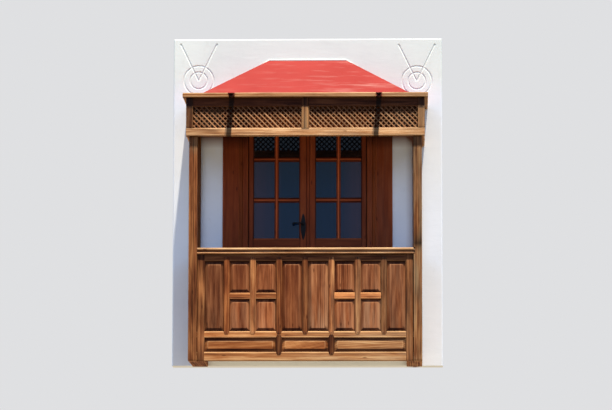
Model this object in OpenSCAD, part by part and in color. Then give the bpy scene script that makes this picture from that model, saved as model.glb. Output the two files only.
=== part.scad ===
// Roofed timber balcony with a lattice frieze and a panelled parapet, fixed to the piece of
// plastered wall that carries it, with the double door behind it.
// The origin is on the back of the wall, on the centre line, level with the balcony floor.
// X runs to the right, Y into the wall, so the balcony reaches towards -Y, and Z runs up.

/* [Wall] */
// Half the width of the smooth plaster surround
surround_half_w = 1374; // [1340:1:1450]
// Top of the surround above the floor
surround_top = 3141; // [3110:1:3250]
// Bottom of the surround below the floor
surround_drop = 219; // [200:1:230]
// Thickness of the wall with its raised surround
wall_t = 230; // [180:5:320]
// Radius of the surround's worn outer edges
surround_round = 14; // [6:1:25]
// Sideways distance of each incised ornament from the centre line
ornament_x = 1117; // [1100:1:1150]
// Height of the centre of its rings above the floor
ornament_z = 2713; // [2690:1:2740]
// How much lower the right-hand ornament is
ornament_slip = 9; // [0:1:15]
// Radius of the outer ring
ring_outer_r = 151; // [140:1:165]
// Radius of the inner ring
ring_inner_r = 87; // [70:1:110]
// Width of the incised lines
groove_w = 22; // [12:1:28]
// Depth of the incised lines
groove_deep = 6; // [3:1:9]

/* [Door] */
// Half the width of the opening in the wall
door_half_w = 666; // [640:1:680]
// Door sill above the balcony floor
door_sill = 160; // [120:1:180]
// Top of the door frame above the balcony floor
door_top = 2404; // [2380:1:2404]
// Width of the frame's jambs
jamb_w = 60; // [50:1:70]
// Depth of the frame
frame_deep = 90; // [70:1:110]
// Thickness of a door leaf
leaf_t = 45; // [38:1:55]
// Width of a leaf's outer stile
leaf_stile = 60; // [55:1:70]
// Width of a leaf's meeting stile
meeting_stile = 83; // [70:1:95]
// Width of the upright glazing bars
bar_w = 38; // [25:1:45]
// Bottom of the glass above the balcony floor
glass_bottom = 1082; // [1060:1:1120]
// Height of the two lower rows of panes
pane_h = 366; // [340:1:375]
// Height of the top row of panes
top_pane_h = 311; // [280:1:320]
// Height of the level glazing bars
bar_h = 53; // [40:1:60]
// Width of the flat board beside the door
side_board_w = 200; // [150:1:205]

/* [Balcony body] */
// Half the width over the outer faces of the posts
post_half_w = 1164; // [1150:1:1180]
// Side of a square post
post_w = 85; // [75:1:95]
// Distance of the posts' front face from the surround
post_reach = 770; // [650:5:850]
// Bottom of the posts and of the parapet below the floor
parapet_drop = 234; // [230:1:260]
// Depth of the half posts against the wall
wall_post_deep = 60; // [45:1:70]
// Width of each bearer
bearer_w = 157; // [120:1:165]
// How far the bearers reach down below the floor's level
bearer_drop = 229; // [215:1:232]
// Thickness of the floor slab
slab_t = 155; // [120:1:170]
// Thickness of the floor finish
finish_t = 25; // [15:1:30]

/* [Parapet] */
// Top of the handrail above the floor
handrail_top = 897; // [880:1:950]
// Height of the handrail
handrail_h = 64; // [56:1:68]
// Width of the handrail
handrail_w = 80; // [70:1:84]
// How far the handrail's rounded right end laps over the right post
handrail_lap = 13; // [0:1:20]
// Height of the rail under the handrail
top_rail_h = 72; // [64:1:95]
// Distance of the stiles' faces behind the posts' faces
parapet_set_back = 30; // [20:1:34]
// Number of panel columns
columns = 8; // [8:1:8]
// Distance between stiles, centre to centre
stile_pitch = 261; // [258:1:261]
// Width of a stile
stile_w = 62; // [50:1:66]
// Width of the two end stiles
end_stile_w = 79; // [70:1:84]
// Height of the middle rail's lower edge above the floor
mid_rail_z = -4; // [-10:1:10]
// Height of the middle rail
mid_rail_h = 68; // [56:1:72]
// Height of the bottom rail
bottom_rail_h = 92; // [85:1:110]
// Height of the short cross rails' lower edge above the floor
cross_rail_z = 383; // [370:1:410]
// Height of the short cross rails
cross_rail_h = 66; // [50:1:70]
// Width of the sloping margin round a panel
panel_bevel = 31; // [20:1:34]
// How far a panel's field stands in front of its edge
panel_rise = 14; // [6:1:16]

/* [Frieze and roof] */
// Underside of the lower beam above the floor
beam_z = 2021; // [1990:1:2040]
// Height of the lower beam
beam_h = 77; // [70:1:95]
// Thickness of beams and frieze frames
beam_t = 70; // [60:1:75]
// How far the beam stands out past the posts
beam_out = 30; // [20:1:35]
// Height of the lattice
lattice_h = 217; // [190:1:230]
// Height of the rail above the lattice
frieze_rail_h = 93; // [70:1:98]
// Width of the frieze's corner stiles
frieze_stile_w = 70; // [60:1:80]
// Width of its centre stile
centre_stile_w = 78; // [70:1:85]
// How far the centre stile's rounded foot laps over the beam
centre_stile_lap = 8; // [6:1:22]
// Level distance from one lattice slat to the next
slat_pitch = 52.5; // [48:0.5:64]
// Width of a slat
slat_w = 13; // [10:1:24]
// Thickness of a slat
slat_t = 8; // [6:1:10]
// How far the cornice stands out past the frieze
cornice_out = 34; // [20:1:40]
// Width of the cornice boards
cornice_w = 86; // [80:1:95]
// Thickness of the cornice boards
cornice_h = 43; // [36:1:48]
// Width of the gutter between the cornice and the roof
gutter_w = 28; // [20:1:60]
// Height of the roof's ridge above the floor
ridge_z = 2919; // [2850:1:2960]
// Half the length of the ridge
ridge_half = 394; // [340:1:420]
// Thickness of the roof
roof_t = 55; // [45:1:70]
// Sideways distance of the rain spouts from the centre line
spout_x = 737; // [700:1:780]
// Outer width of a spout
spout_w = 60; // [50:1:66]
// Height of a spout
spout_h = 42; // [36:1:56]
// How far a spout reaches past the cornice
spout_reach = 120; // [90:1:180]
// Slope of a spout, in degrees down to the front
spout_fall = 7; // [3:0.5:9]

/* [Hidden] */
$fn = 48;
LEFT = -1;
RIGHT = 1;

wood = "#8a5a38";
wood_light = "#b07b50";
wood_dark = "#5a2e18";
plaster = "#e8e6e1";
roof_red = "#e4574f";
glass_blue = "#22354a";
iron = "#1d1a19";

// Depths, as distances in front of the wall's back, and the faces that stand on them
wall_face = -wall_t;
post_face = wall_face - post_reach;
post_back = post_face + post_w;
post_inner = post_half_w - post_w;
wall_post_face = wall_face - wall_post_deep;
wall_post_inner = post_inner + 9;
stile_face = post_face + parapet_set_back;
rail_face = stile_face + 3;
field_face = rail_face + 6;
panel_back = rail_face + 29;
parapet_back = rail_face + 37;
side_stile_face = post_half_w - parapet_set_back;
beam_face = post_face - beam_out;
beam_half_w = post_half_w + beam_out;
beam_back = beam_face + beam_t;
cornice_face = beam_face - cornice_out;
cornice_half_w = beam_half_w + cornice_out;

// Heights
parapet_z = -parapet_drop;
slab_top = -finish_t;
frieze_z = beam_z + beam_h;
lattice_top = frieze_z + lattice_h;
frieze_top = lattice_top + frieze_rail_h;
handrail_z = handrail_top - handrail_h;
top_rail_z = handrail_z - top_rail_h;
mid_rail_top = mid_rail_z + mid_rail_h;
bottom_rail_top = parapet_z + bottom_rail_h;
cross_rail_top = cross_rail_z + cross_rail_h;
ceiling_t = 18;
roof_z = frieze_top + ceiling_t;

// A stile's ends lap over the rails that carry it
stile_lap = 32;
stile_top_lap = 45;
edge_chamfer = 7;

// Solid prisms of a flat outline: drawn in Y and Z, in X and Z, and in X and Y
module along_x(x) {
    translate([x[0], 0, 0]) rotate([90, 0, 90]) linear_extrude(x[1] - x[0]) children();
}
module along_y(y) {
    translate([0, y[1], 0]) rotate([90, 0, 0]) linear_extrude(y[1] - y[0]) children();
}
module along_z(z) {
    translate([0, 0, z[0]]) linear_extrude(z[1] - z[0]) children();
}

// A plain timber or slab between two corners
module block(x, y, z) {
    translate([x[0], y[0], z[0]]) cube([x[1] - x[0], y[1] - y[0], z[1] - z[0]]);
}

// Every side piece is drawn on the right and mirrored for the left
module on_side(side) {
    if (side == RIGHT) children();
    else mirror([1, 0, 0]) children();
}

// Outline of a bar whose two front corners are cut off; front is the lower value of y
module chamfered_bar(x, front, back, cut) {
    polygon([
        [x[0], back], [x[0], front + cut], [x[0] + cut, front],
        [x[1] - cut, front], [x[1], front + cut], [x[1], back]
    ]);
}

// The same bar lying down, drawn with its front to -Y and its height along Z
module chamfered_rail(front, back, z, cut) {
    polygon([
        [back, z[0]], [front + cut, z[0]], [front, z[0] + cut],
        [front, z[1] - cut], [front + cut, z[1]], [back, z[1]]
    ]);
}

// Panel with a raised field inside four sloping margins
module raised_panel(x, z, field, back, rise, bevel_x, bevel_z) {
    low = field + rise;
    intersection() {
        along_z(z) polygon([
            [x[0], back], [x[0], low], [x[0] + bevel_x, field],
            [x[1] - bevel_x, field], [x[1], low], [x[1], back]
        ]);
        along_x(x) polygon([
            [back, z[0]], [low, z[0]], [field, z[0] + bevel_z],
            [field, z[1] - bevel_z], [low, z[1]], [back, z[1]]
        ]);
    }
}

// Wall

// Rectangle with one corner rounded, at [x1, y0] of the two ranges
module rounded_corner(x, y, r) {
    translate([x[0], y[0] + r]) square([x[1] - x[0], y[1] - y[0] - r]);
    translate([x[0], y[0]]) square([x[1] - x[0] - r, r + 1]);
    translate([x[1] - r, y[0] + r]) circle(r);
}

// Outline in Y and Z of a wall whose front top edge is rounded
module wall_section(z) {
    r = surround_round;
    difference() {
        translate([wall_face, z[0]]) square([wall_t, z[1] - z[0]]);
        translate([wall_face - 1, z[1] - r]) square([r + 1, r + 1]);
    }
    translate([wall_face + r, z[1] - r]) circle(r);
}

// Two rings and a long V, cut into the plaster above each end of the roof. The cutter is round
// and its centre lies in front of the wall, so that the lines are wider than they are deep.
module ornament_cut(z) {
    cutter_r = (pow(groove_w / 2, 2) + pow(groove_deep, 2)) / (2 * groove_deep);
    cutter_out = cutter_r - groove_deep;
    v_half = 185;
    v_rise = 382;
    v_start = -7;
    v_len = norm([v_half, v_rise]);
    lean = atan2(v_half, v_rise);
    tip_r = 10;
    tip_deep = 8;
    translate([ornament_x, wall_face, z]) rotate([90, 0, 0]) {
        for (r = [ring_inner_r, ring_outer_r]) rotate_extrude($fn = 96)
            translate([r, cutter_out]) circle(cutter_r);
        for (way = [-1, 1]) translate([way * v_half, v_start + v_rise, -tip_deep])
            cylinder(r = tip_r, h = 2 * tip_deep);
    }
    for (way = [-1, 1])
        translate([ornament_x, wall_face - cutter_out, z + v_start]) rotate([0, way * lean, 0])
            cylinder(r = cutter_r, h = v_len);
}

module wall_side(side) {
    z = [-surround_drop, surround_top];
    x = [door_half_w, surround_half_w];
    color(plaster) on_side(side) difference() {
        intersection() {
            along_z(z) rounded_corner(x, [wall_face, 0], surround_round);
            along_x(x) wall_section(z);
        }
        ornament_cut(side == LEFT ? ornament_z : ornament_z - ornament_slip);
    }
}
module wall_left() { wall_side(LEFT); }
module wall_right() { wall_side(RIGHT); }

module wall_over_door() {
    color(plaster) along_x([-door_half_w, door_half_w]) wall_section([door_top, surround_top]);
}

module wall_under_door() {
    color(plaster) block([-door_half_w, door_half_w], [wall_face, 0], [-surround_drop, door_sill]);
}

// Door

frame_proud = 12;
frame_face = wall_face - frame_proud;
leaf_face = frame_face + 10;
leaf_back = leaf_face + leaf_t;
leaf_outer = door_half_w - jamb_w;
leaf_gap = 2;
leaf_z = [door_sill + 42, door_top - jamb_w];
bar_face = leaf_face + 6;
glass_t = 6;
glass_face = leaf_face + 18;

// Rows and columns of panes on the right leaf
row_2 = glass_bottom + pane_h + bar_h;
row_3 = row_2 + pane_h + bar_h;
pane_rows = [[glass_bottom, glass_bottom + pane_h], [row_2, row_2 + pane_h], [row_3, row_3 + top_pane_h]];
glass_x = [leaf_gap + meeting_stile, leaf_outer - leaf_stile];
pane_w = (glass_x[1] - glass_x[0] - bar_w) / 2;
pane_columns = [[glass_x[0], glass_x[0] + pane_w], [glass_x[1] - pane_w, glass_x[1]]];
lock_rail_z = glass_bottom - 150;
leaf_bottom_rail = 150;

// Frame with a stop behind the leaves
module door_frame() {
    y = [frame_face, frame_face + frame_deep];
    stop_w = 12;
    stop_x = leaf_outer - stop_w;
    color(wood_dark) difference() {
        block([-door_half_w, door_half_w], y, [door_sill, door_top]);
        block([-leaf_outer, leaf_outer], [y[0] - 1, leaf_back], leaf_z);
        block([-stop_x, stop_x], [y[0] - 1, y[1] + 1], [leaf_z[0], leaf_z[1] - stop_w]);
    }
}

module door_leaf(side) {
    x = [leaf_gap, leaf_outer];
    panel_z = [leaf_z[0] + leaf_bottom_rail, lock_rail_z];
    color(wood_dark) on_side(side) {
        difference() {
            block(x, [leaf_face, leaf_back], leaf_z);
            block(glass_x, [leaf_face - 1, leaf_back + 1], [pane_rows[0][0], pane_rows[2][1]]);
            block(glass_x, [leaf_face - 1, leaf_back + 1], panel_z);
        }
        block([pane_columns[0][1], pane_columns[1][0]], [bar_face, leaf_back - 6],
              [pane_rows[0][0], pane_rows[2][1]]);
        for (row = [0, 1])
            block(glass_x, [bar_face, leaf_back - 6], [pane_rows[row][1], pane_rows[row + 1][0]]);
        raised_panel(glass_x, panel_z, leaf_face + 4, leaf_back - 8, 10, 45, 45);
    }
}
module door_leaf_left() {
    door_leaf(LEFT);
}
module door_leaf_right() {
    cover_strip = [-14, 24];
    cover_strip_t = 9;
    door_leaf(RIGHT);
    color(wood_dark) block(cover_strip, [leaf_face - cover_strip_t, leaf_face], leaf_z);
}

module door_glass() {
    color(glass_blue) for (side = [LEFT, RIGHT], column = pane_columns, row = pane_rows)
        on_side(side) block(column, [glass_face, glass_face + glass_t], row);
}

// Long forged plate with a lever, on the left leaf's meeting stile
module door_handle() {
    plate_w = 46;
    plate_z = [1071, 1334];
    plate_t = 3;
    lever_z = 1237;
    lever_len = 112;
    lever_r = 8;
    stand_off = 38;
    x = -(leaf_gap + meeting_stile / 2);
    color(iron) {
        block([x - plate_w / 2, x + plate_w / 2], [leaf_face - plate_t, leaf_face], plate_z);
        translate([x, leaf_face - plate_t + 1, lever_z]) rotate([90, 0, 0]) cylinder(r = 10, h = stand_off);
        translate([x + 6, leaf_face - stand_off, lever_z]) rotate([0, -90, 0])
            cylinder(r = lever_r, h = lever_len);
    }
}

module side_board(side) {
    board_t = 22;
    x = [door_half_w, door_half_w + side_board_w];
    color(wood_dark) on_side(side) block(x, [wall_face - board_t, wall_face], [door_sill, door_top]);
}
module side_board_left() { side_board(LEFT); }
module side_board_right() { side_board(RIGHT); }

// Floor

bearer_inner = post_half_w - bearer_w;

module floor_slab() {
    color(plaster) block([-bearer_inner, bearer_inner], [parapet_back, wall_face],
                         [slab_top - slab_t, slab_top]);
}

module floor_finish() {
    color("#a5674a") block([-side_back, side_back], [parapet_back, wall_post_face], [slab_top, 0]);
}

module bearer(side) {
    color(wood) on_side(side)
        block([bearer_inner, post_half_w], [post_back, wall_face], [-bearer_drop, slab_top]);
}
module bearer_left() { bearer(LEFT); }
module bearer_right() { bearer(RIGHT); }

// Posts

post_chamfer = 6;

module post(side) {
    color(wood) on_side(side) along_z([parapet_z, beam_z])
        chamfered_bar([post_inner, post_half_w], post_face, post_back, post_chamfer);
}
module post_left() { post(LEFT); }
// The right post is notched for the handrail's end
module post_right() {
    difference() {
        post(RIGHT);
        block([post_inner - 1, post_inner + handrail_lap], [post_face - 1, post_back + 1],
              [handrail_z, handrail_top]);
    }
}

// Half post on the wall; beside the beam its inner part runs on up to the ceiling
module wall_post(side) {
    color(wood) on_side(side) {
        along_z([slab_top, beam_z])
            chamfered_bar([wall_post_inner, post_half_w], wall_post_face, wall_face, post_chamfer);
        along_z([beam_z - 1, frieze_top])
            chamfered_bar([wall_post_inner, beam_half_w - beam_t], wall_post_face, wall_face, post_chamfer);
    }
}
module wall_post_left() { wall_post(LEFT); }
module wall_post_right() { wall_post(RIGHT); }

// Front parapet

// Left and right edges of a stile, counted from 0 at the left end
function stile_x(i) =
    let (centre = (i - columns / 2) * stile_pitch)
    i == 0 ? [-post_inner, -post_inner + end_stile_w] :
    i == columns ? [post_inner - end_stile_w, post_inner] :
    [centre - stile_w / 2, centre + stile_w / 2];

// Left and right edges of the panels in a column
function column_x(i) = [stile_x(i)[1], stile_x(i + 1)[0]];

// Columns that a short cross rail divides in two
split_columns = [1, 2, 5, 6];
whole_columns = [0, 3, 4, 7];
// Stiles that run on down between the long panels
low_stiles = [3, 5];
low_bays = [[0, 3], [3, 5], [5, 8]];

module parapet_rail(x, z) {
    along_x(x) chamfered_rail(rail_face, parapet_back, z, edge_chamfer);
}

module parapet_stile(x, z) {
    along_z(z) chamfered_bar(x, stile_face, parapet_back, edge_chamfer);
}

module parapet_frame() {
    span = [-post_inner, post_inner];
    color(wood) {
        parapet_rail(span, [parapet_z, bottom_rail_top]);
        parapet_rail(span, [mid_rail_z, mid_rail_top]);
        parapet_rail(span, [top_rail_z, handrail_z]);
        for (i = split_columns) parapet_rail(column_x(i), [cross_rail_z, cross_rail_top]);
        for (i = [0, columns]) parapet_stile(stile_x(i), [parapet_z, handrail_z]);
        for (i = [1 : columns - 1])
            parapet_stile(stile_x(i), [mid_rail_top - stile_lap, top_rail_z + stile_top_lap]);
        for (i = low_stiles)
            parapet_stile(stile_x(i), [bottom_rail_top - stile_lap, mid_rail_z + stile_lap]);
    }
}

module parapet_panel(i, z) {
    raised_panel(column_x(i), z, field_face, panel_back, panel_rise, panel_bevel, panel_bevel);
}

module parapet_panels() {
    color(wood) {
        for (i = whole_columns) parapet_panel(i, [mid_rail_top, top_rail_z]);
        for (i = split_columns) {
            parapet_panel(i, [mid_rail_top, cross_rail_z]);
            parapet_panel(i, [cross_rail_top, top_rail_z]);
        }
    }
}

module parapet_long_panels() {
    color(wood_light) for (bay = low_bays)
        raised_panel([stile_x(bay[0])[1], stile_x(bay[1])[0]], [bottom_rail_top, mid_rail_z],
                     field_face, panel_back, panel_rise, panel_bevel, panel_bevel);
}

// Side parapets, standing on the bearers

side_back = side_stile_face - 40;
side_y = [post_back, wall_post_face];

// Turns a front piece, drawn round X = 0 at its own length, to the right-hand side
module to_side() {
    middle = (side_y[0] + side_y[1]) / 2;
    translate([side_stile_face + stile_face, middle, 0]) rotate([0, 0, 90]) children();
}

module side_parapet(side) {
    length = side_y[1] - side_y[0];
    half = length / 2;
    stile = 60;
    columns_x = [[-half + stile, -stile / 2], [stile / 2, half - stile]];
    color(wood) on_side(side) to_side() {
        parapet_rail([-half, half], [slab_top, mid_rail_top]);
        parapet_rail([-half, half], [top_rail_z, handrail_z]);
        parapet_stile([-half, -half + stile], [slab_top, handrail_z]);
        parapet_stile([half - stile, half], [slab_top, handrail_z]);
        parapet_stile([-stile / 2, stile / 2], [mid_rail_top - stile_lap, top_rail_z + stile_top_lap]);
        for (x = columns_x) raised_panel(x, [mid_rail_top, top_rail_z], field_face, panel_back,
                                         panel_rise, panel_bevel, panel_bevel);
    }
}
module side_parapet_left() { side_parapet(LEFT); }
module side_parapet_right() { side_parapet(RIGHT); }

// Handrails

// Section of the rail, with two round noses and a groove between them on each face
module handrail_section() {
    nose_high = 11;
    nose_low = 10;
    half = handrail_w / 2;
    neck = 13;
    translate([-half + neck, 0]) square([2 * (half - neck), handrail_h]);
    translate([-half + nose_high, handrail_h - 2 * nose_high])
        square([2 * (half - nose_high), 2 * nose_high]);
    translate([-half + nose_low + 2, 0]) square([2 * (half - nose_low - 2), 2 * nose_low]);
    for (way = [-1, 1]) {
        translate([way * (half - nose_high), handrail_h - nose_high]) circle(nose_high);
        translate([way * (half - nose_low - 2), nose_low]) circle(nose_low);
    }
}

front_handrail_y = stile_face - 20 + handrail_w / 2;
side_handrail_x = side_stile_face + 20 - handrail_w / 2;

module handrail_front() {
    end = post_inner + handrail_lap;
    end_r = 22;
    y = [front_handrail_y - handrail_w, front_handrail_y + handrail_w];
    color(wood_light) intersection() {
        along_x([-post_inner, end]) translate([front_handrail_y, handrail_z]) handrail_section();
        along_y(y) union() {
            translate([-post_inner, handrail_z]) square([end + post_inner, handrail_h - end_r]);
            translate([-post_inner, handrail_z]) square([end + post_inner - end_r, handrail_h]);
            translate([end - end_r, handrail_top - end_r]) circle(end_r);
        }
    }
}

module handrail_side(side) {
    color(wood_light) on_side(side) along_y(side_y)
        translate([side_handrail_x, handrail_z]) handrail_section();
}
module handrail_left() { handrail_side(LEFT); }
module handrail_right() { handrail_side(RIGHT); }

// Beams and frieze

frieze_rail_back = 8;
lattice_back = 15;
frame_t = 50;
centre_stile_proud = 3;
centre_stile_cut = 14;

module beam_front() {
    color(wood_light) block([-beam_half_w, beam_half_w], [beam_face, beam_back], [beam_z, frieze_z]);
}

module beam_side(side) {
    color(wood_light) on_side(side)
        block([beam_half_w - beam_t, beam_half_w], [beam_back, wall_face], [beam_z, frieze_z]);
}
module beam_left() { beam_side(LEFT); }
module beam_right() { beam_side(RIGHT); }

// The centre stile's face hangs down over the beam in a thin rounded foot
module centre_stile(face, back) {
    half = centre_stile_w / 2;
    lap = centre_stile_lap;
    along_z([frieze_z, frieze_top]) chamfered_bar([-half, half], face, back, centre_stile_cut);
    along_y([face, beam_face]) intersection() {
        translate([-half, frieze_z - lap]) square([2 * half, lap]);
        union() {
            translate([-half + lap, frieze_z - lap]) square([2 * (half - lap), lap]);
            for (way = [-1, 1]) translate([way * (half - lap), frieze_z]) circle(lap);
        }
    }
}

module frieze_frame_front() {
    back = beam_face + frame_t;
    stile_inner = beam_half_w - frieze_stile_w;
    color(wood) {
        block([-beam_half_w, beam_half_w], [beam_face + frieze_rail_back, back],
              [lattice_top, frieze_top]);
        for (side = [LEFT, RIGHT]) on_side(side)
            block([stile_inner, beam_half_w], [beam_face, beam_back], [frieze_z, frieze_top]);
        centre_stile(beam_face - centre_stile_proud, back);
    }
}

module frieze_frame_side(side) {
    inner = beam_half_w - frame_t;
    color(wood) on_side(side) {
        block([inner, beam_half_w - frieze_rail_back], [beam_back, wall_face],
              [lattice_top, frieze_top]);
        block([inner, beam_half_w], [wall_face - frieze_stile_w, wall_face], [frieze_z, frieze_top]);
    }
}
module frieze_frame_left() { frieze_frame_side(LEFT); }
module frieze_frame_right() { frieze_frame_side(RIGHT); }

// One layer of parallel slats, cut to a rectangle that starts at the origin and moved along it
module slat_layer(w, h, lean, along) {
    count = ceil((w + h) / slat_pitch);
    reach = 2 * h + slat_w;
    intersection() {
        square([w, h]);
        for (i = [-count : count])
            translate([w / 2 + (i + 0.5) * slat_pitch + along, h / 2]) rotate(lean)
                square([slat_w, reach], center = true);
    }
}

// Two crossed layers let into each other by a little, standing in X and Z at y = 0
module lattice_panel(w) {
    let_in = 1;
    front_shift = -21;
    along_y([0, slat_t]) slat_layer(w, lattice_h, 45, front_shift);
    along_y([slat_t - let_in, 2 * slat_t - let_in]) slat_layer(w, lattice_h, -45, 0);
}

module lattice_front(side) {
    x = [centre_stile_w / 2, beam_half_w - frieze_stile_w];
    start = side == LEFT ? -x[1] : x[0];
    color(wood_light) translate([start, beam_face + lattice_back, frieze_z]) lattice_panel(x[1] - x[0]);
}
module lattice_front_left() { lattice_front(LEFT); }
module lattice_front_right() { lattice_front(RIGHT); }

module lattice_side(side) {
    y = [beam_back, wall_face - frieze_stile_w];
    color(wood_light) on_side(side) translate([beam_half_w - lattice_back, y[0], frieze_z])
        rotate([0, 0, 90]) lattice_panel(y[1] - y[0]);
}
module lattice_left() { lattice_side(LEFT); }
module lattice_right() { lattice_side(RIGHT); }

// Cornice, ceiling and roof

ceiling_half_w = cornice_half_w - cornice_w;
ceiling_front = cornice_face + cornice_w;
roof_half_w = ceiling_half_w - gutter_w;
roof_front = ceiling_front + gutter_w;

module cornice() {
    z = [frieze_top, frieze_top + cornice_h];
    color(wood_light) difference() {
        block([-cornice_half_w, cornice_half_w], [cornice_face, wall_face], z);
        block([-ceiling_half_w, ceiling_half_w], [ceiling_front, wall_face + 1], [z[0] - 1, z[1] + 1]);
        for (side = [LEFT, RIGHT]) on_side(side)
            block([spout_x - spout_w / 2, spout_x + spout_w / 2], [cornice_face - 1, ceiling_front + 1],
                  [z[0] - 1, z[1] + 1]);
    }
}

// The ceiling boards reach the cornice, so that they are the gutter's floor too
module ceiling() {
    color(wood) block([-ceiling_half_w, ceiling_half_w], [ceiling_front, wall_face],
                      [frieze_top, frieze_top + ceiling_t]);
}

// Three slopes that lean on the wall, from the eaves up to a level ridge
module half_hip(front, half_w, half_ridge, z, top) {
    intersection() {
        along_x([-half_w, half_w]) polygon([[front, z], [wall_face, z], [wall_face, top]]);
        along_y([front, wall_face])
            polygon([[-half_w, z], [half_w, z], [half_ridge, top], [-half_ridge, top]]);
    }
}

module roof() {
    color(roof_red) difference() {
        half_hip(roof_front, roof_half_w, ridge_half, roof_z, ridge_z);
        translate([0, 0, -roof_t]) half_hip(roof_front, roof_half_w, ridge_half, roof_z, ridge_z);
    }
}

// Section of a spout, or of the hole in it: round underneath and flat on top
module spout_outline(inset) {
    r = spout_w / 2 - inset;
    centre_z = spout_w / 2;
    intersection() {
        translate([-r, 0]) square([2 * r, spout_h - inset]);
        union() {
            translate([-r, centre_z]) square([2 * r, centre_z]);
            translate([0, centre_z]) circle(r);
        }
    }
}

// Wooden pipes that take the rain from the gutter out to the front, resting on the frieze's rail
module spouts() {
    skin = 7;
    rest = [0, beam_face + frieze_rail_back, frieze_top];
    color("#7a3a28") for (side = [LEFT, RIGHT]) on_side(side)
        translate(rest) rotate([spout_fall, 0, 0]) translate(-rest)
            along_y([cornice_face - spout_reach, ceiling_front])
                translate([spout_x, frieze_top]) difference() {
                    spout_outline(0);
                    spout_outline(skin);
                }
}

wall_left();
wall_right();
wall_over_door();
wall_under_door();
door_frame();
door_leaf_left();
door_leaf_right();
door_glass();
door_handle();
side_board_left();
side_board_right();
floor_slab();
floor_finish();
bearer_left();
bearer_right();
post_left();
post_right();
wall_post_left();
wall_post_right();
parapet_frame();
parapet_panels();
parapet_long_panels();
side_parapet_left();
side_parapet_right();
handrail_front();
handrail_left();
handrail_right();
beam_front();
beam_left();
beam_right();
frieze_frame_front();
frieze_frame_left();
frieze_frame_right();
lattice_front_left();
lattice_front_right();
lattice_left();
lattice_right();
cornice();
ceiling();
roof();
spouts();
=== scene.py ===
import random
from itertools import accumulate
from math import ceil, cos, exp, pi, radians, sin, sqrt

import bmesh
import bpy
from mathutils import Matrix, Vector, noise


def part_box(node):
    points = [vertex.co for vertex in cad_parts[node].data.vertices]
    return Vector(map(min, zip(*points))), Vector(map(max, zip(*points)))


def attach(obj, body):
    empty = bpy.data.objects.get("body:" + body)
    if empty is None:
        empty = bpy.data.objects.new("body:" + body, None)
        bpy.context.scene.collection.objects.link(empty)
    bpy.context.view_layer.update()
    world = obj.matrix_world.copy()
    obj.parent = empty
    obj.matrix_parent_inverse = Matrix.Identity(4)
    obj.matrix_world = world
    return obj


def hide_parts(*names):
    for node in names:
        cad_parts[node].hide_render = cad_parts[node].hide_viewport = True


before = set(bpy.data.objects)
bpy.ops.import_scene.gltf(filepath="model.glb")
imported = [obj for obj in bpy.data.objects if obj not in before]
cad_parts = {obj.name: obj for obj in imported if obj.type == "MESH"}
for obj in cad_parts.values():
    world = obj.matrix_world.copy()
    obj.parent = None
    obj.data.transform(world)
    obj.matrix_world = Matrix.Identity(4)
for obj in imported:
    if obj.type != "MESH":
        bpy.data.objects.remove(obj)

# Looks of the roofed timber balcony, in metres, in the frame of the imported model:
# X to the right, Y into the wall, Z up, with the balcony's floor at Z = 0.

scene = bpy.context.scene
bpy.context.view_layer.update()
draws = random.Random(11)

# Sizes that a node's box doesn't give, the same as in the part's source
STILE_PITCH = 0.261
STILE_W = 0.062
SIDE_STILE_W = 0.060
END_STILE_W = 0.079
COLUMNS = 8
SPLIT_COLUMNS = (1, 2, 5, 6)
LOW_STILES = (3, 5)
STILE_LAP = 0.032
STILE_TOP_LAP = 0.045
BOTTOM_RAIL_H = 0.092
MID_RAIL = (-0.004, 0.064)
CROSS_RAIL = (0.383, 0.449)
TOP_RAIL_H = 0.072
EDGE_CUT = 0.007
PANEL_BEVEL = 0.031
HANDRAIL_LAP = 0.013
HANDRAIL_END_R = 0.022
CENTRE_STILE_LAP = 0.008
CENTRE_STILE_PROUD = 0.003
CENTRE_STILE_CUT = 0.014
FRIEZE_RAIL_BACK = 0.008
FRIEZE_T = 0.050
SLAT_PITCH = 0.0525
SLAT_W = 0.013
SLAT_T = 0.008
FRONT_SLAT_SHIFT = -0.021
CORNICE_W = 0.086
RIDGE_HALF = 0.394
SPOUT_X = 0.737
SPOUT_W = 0.060
SPOUT_H = 0.042
SPOUT_SKIN = 0.007
SPOUT_REACH = 0.120
SPOUT_FALL = 7.0
GLASS_ROWS = (1.082, 0.366, 0.053, 0.366, 0.053, 0.311)  # lowest glass, then pane, bar, pane, bar, pane
LEAF_STILE = 0.060
MEETING_STILE = 0.083
LEAF_GAP = 0.002
COVER_STRIP = (-0.014, 0.024)
DOOR_STOP_W = 0.012
DOOR_RAIL_H = 0.15
HANDLE_Z = (1.064, 1.334)
KEYHOLE_Z = 1.150
LEVER_Z = 1.231
LEVER_OUT = 0.038
LEVER_REACH = 0.106

# Depths behind the face of a parapet's stiles
RAIL_SET_BACK = 0.003
PANEL_DEPTHS = (0.009, 0.023, 0.032)  # field, margin's foot and back
PARAPET_T = 0.040
TONGUE = 0.006

# Sizes that only the looks have
BAR_W = 0.044
RAIL_LAP = 0.004  # how far the door's rails run into its stiles
CEILING_BOARDS = 9
REEDED_W = 0.030
SPOUT_SHADOW_DRIFT = 0.030  # the painted spout shadows lean this far to the left, as the sun's shadows do
STEP = 0.09
ARRIS = 0.0015
BROAD_ARRIS = 0.002
MOULDING = 0.006
PLAIN_CUT = 0.004
SOFT_CUT = 0.005
WORN_STRIP = 0.007
STILE_TIP = 0.03
BLUNT = 0.25  # a rounded end's share of the full width
BOW = 0.0006
SHY = 0.001  # neighbouring boards differ by this, so that no two faces coincide
NAIL_R = 0.0055
BEAD = 0.009
TILE = 0.2
TILE_JOINT = 0.002

BLEACH = 0.3  # loss of redness per metre: the right-hand side gets more sun
SILVERING = 0.6  # gain of grey for each step of bleach
EVERYWHERE = -10.0
SHADED = (2.06, 0.08, 0.9)  # painted shade on the door above 2.06 m, under the ceiling

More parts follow.
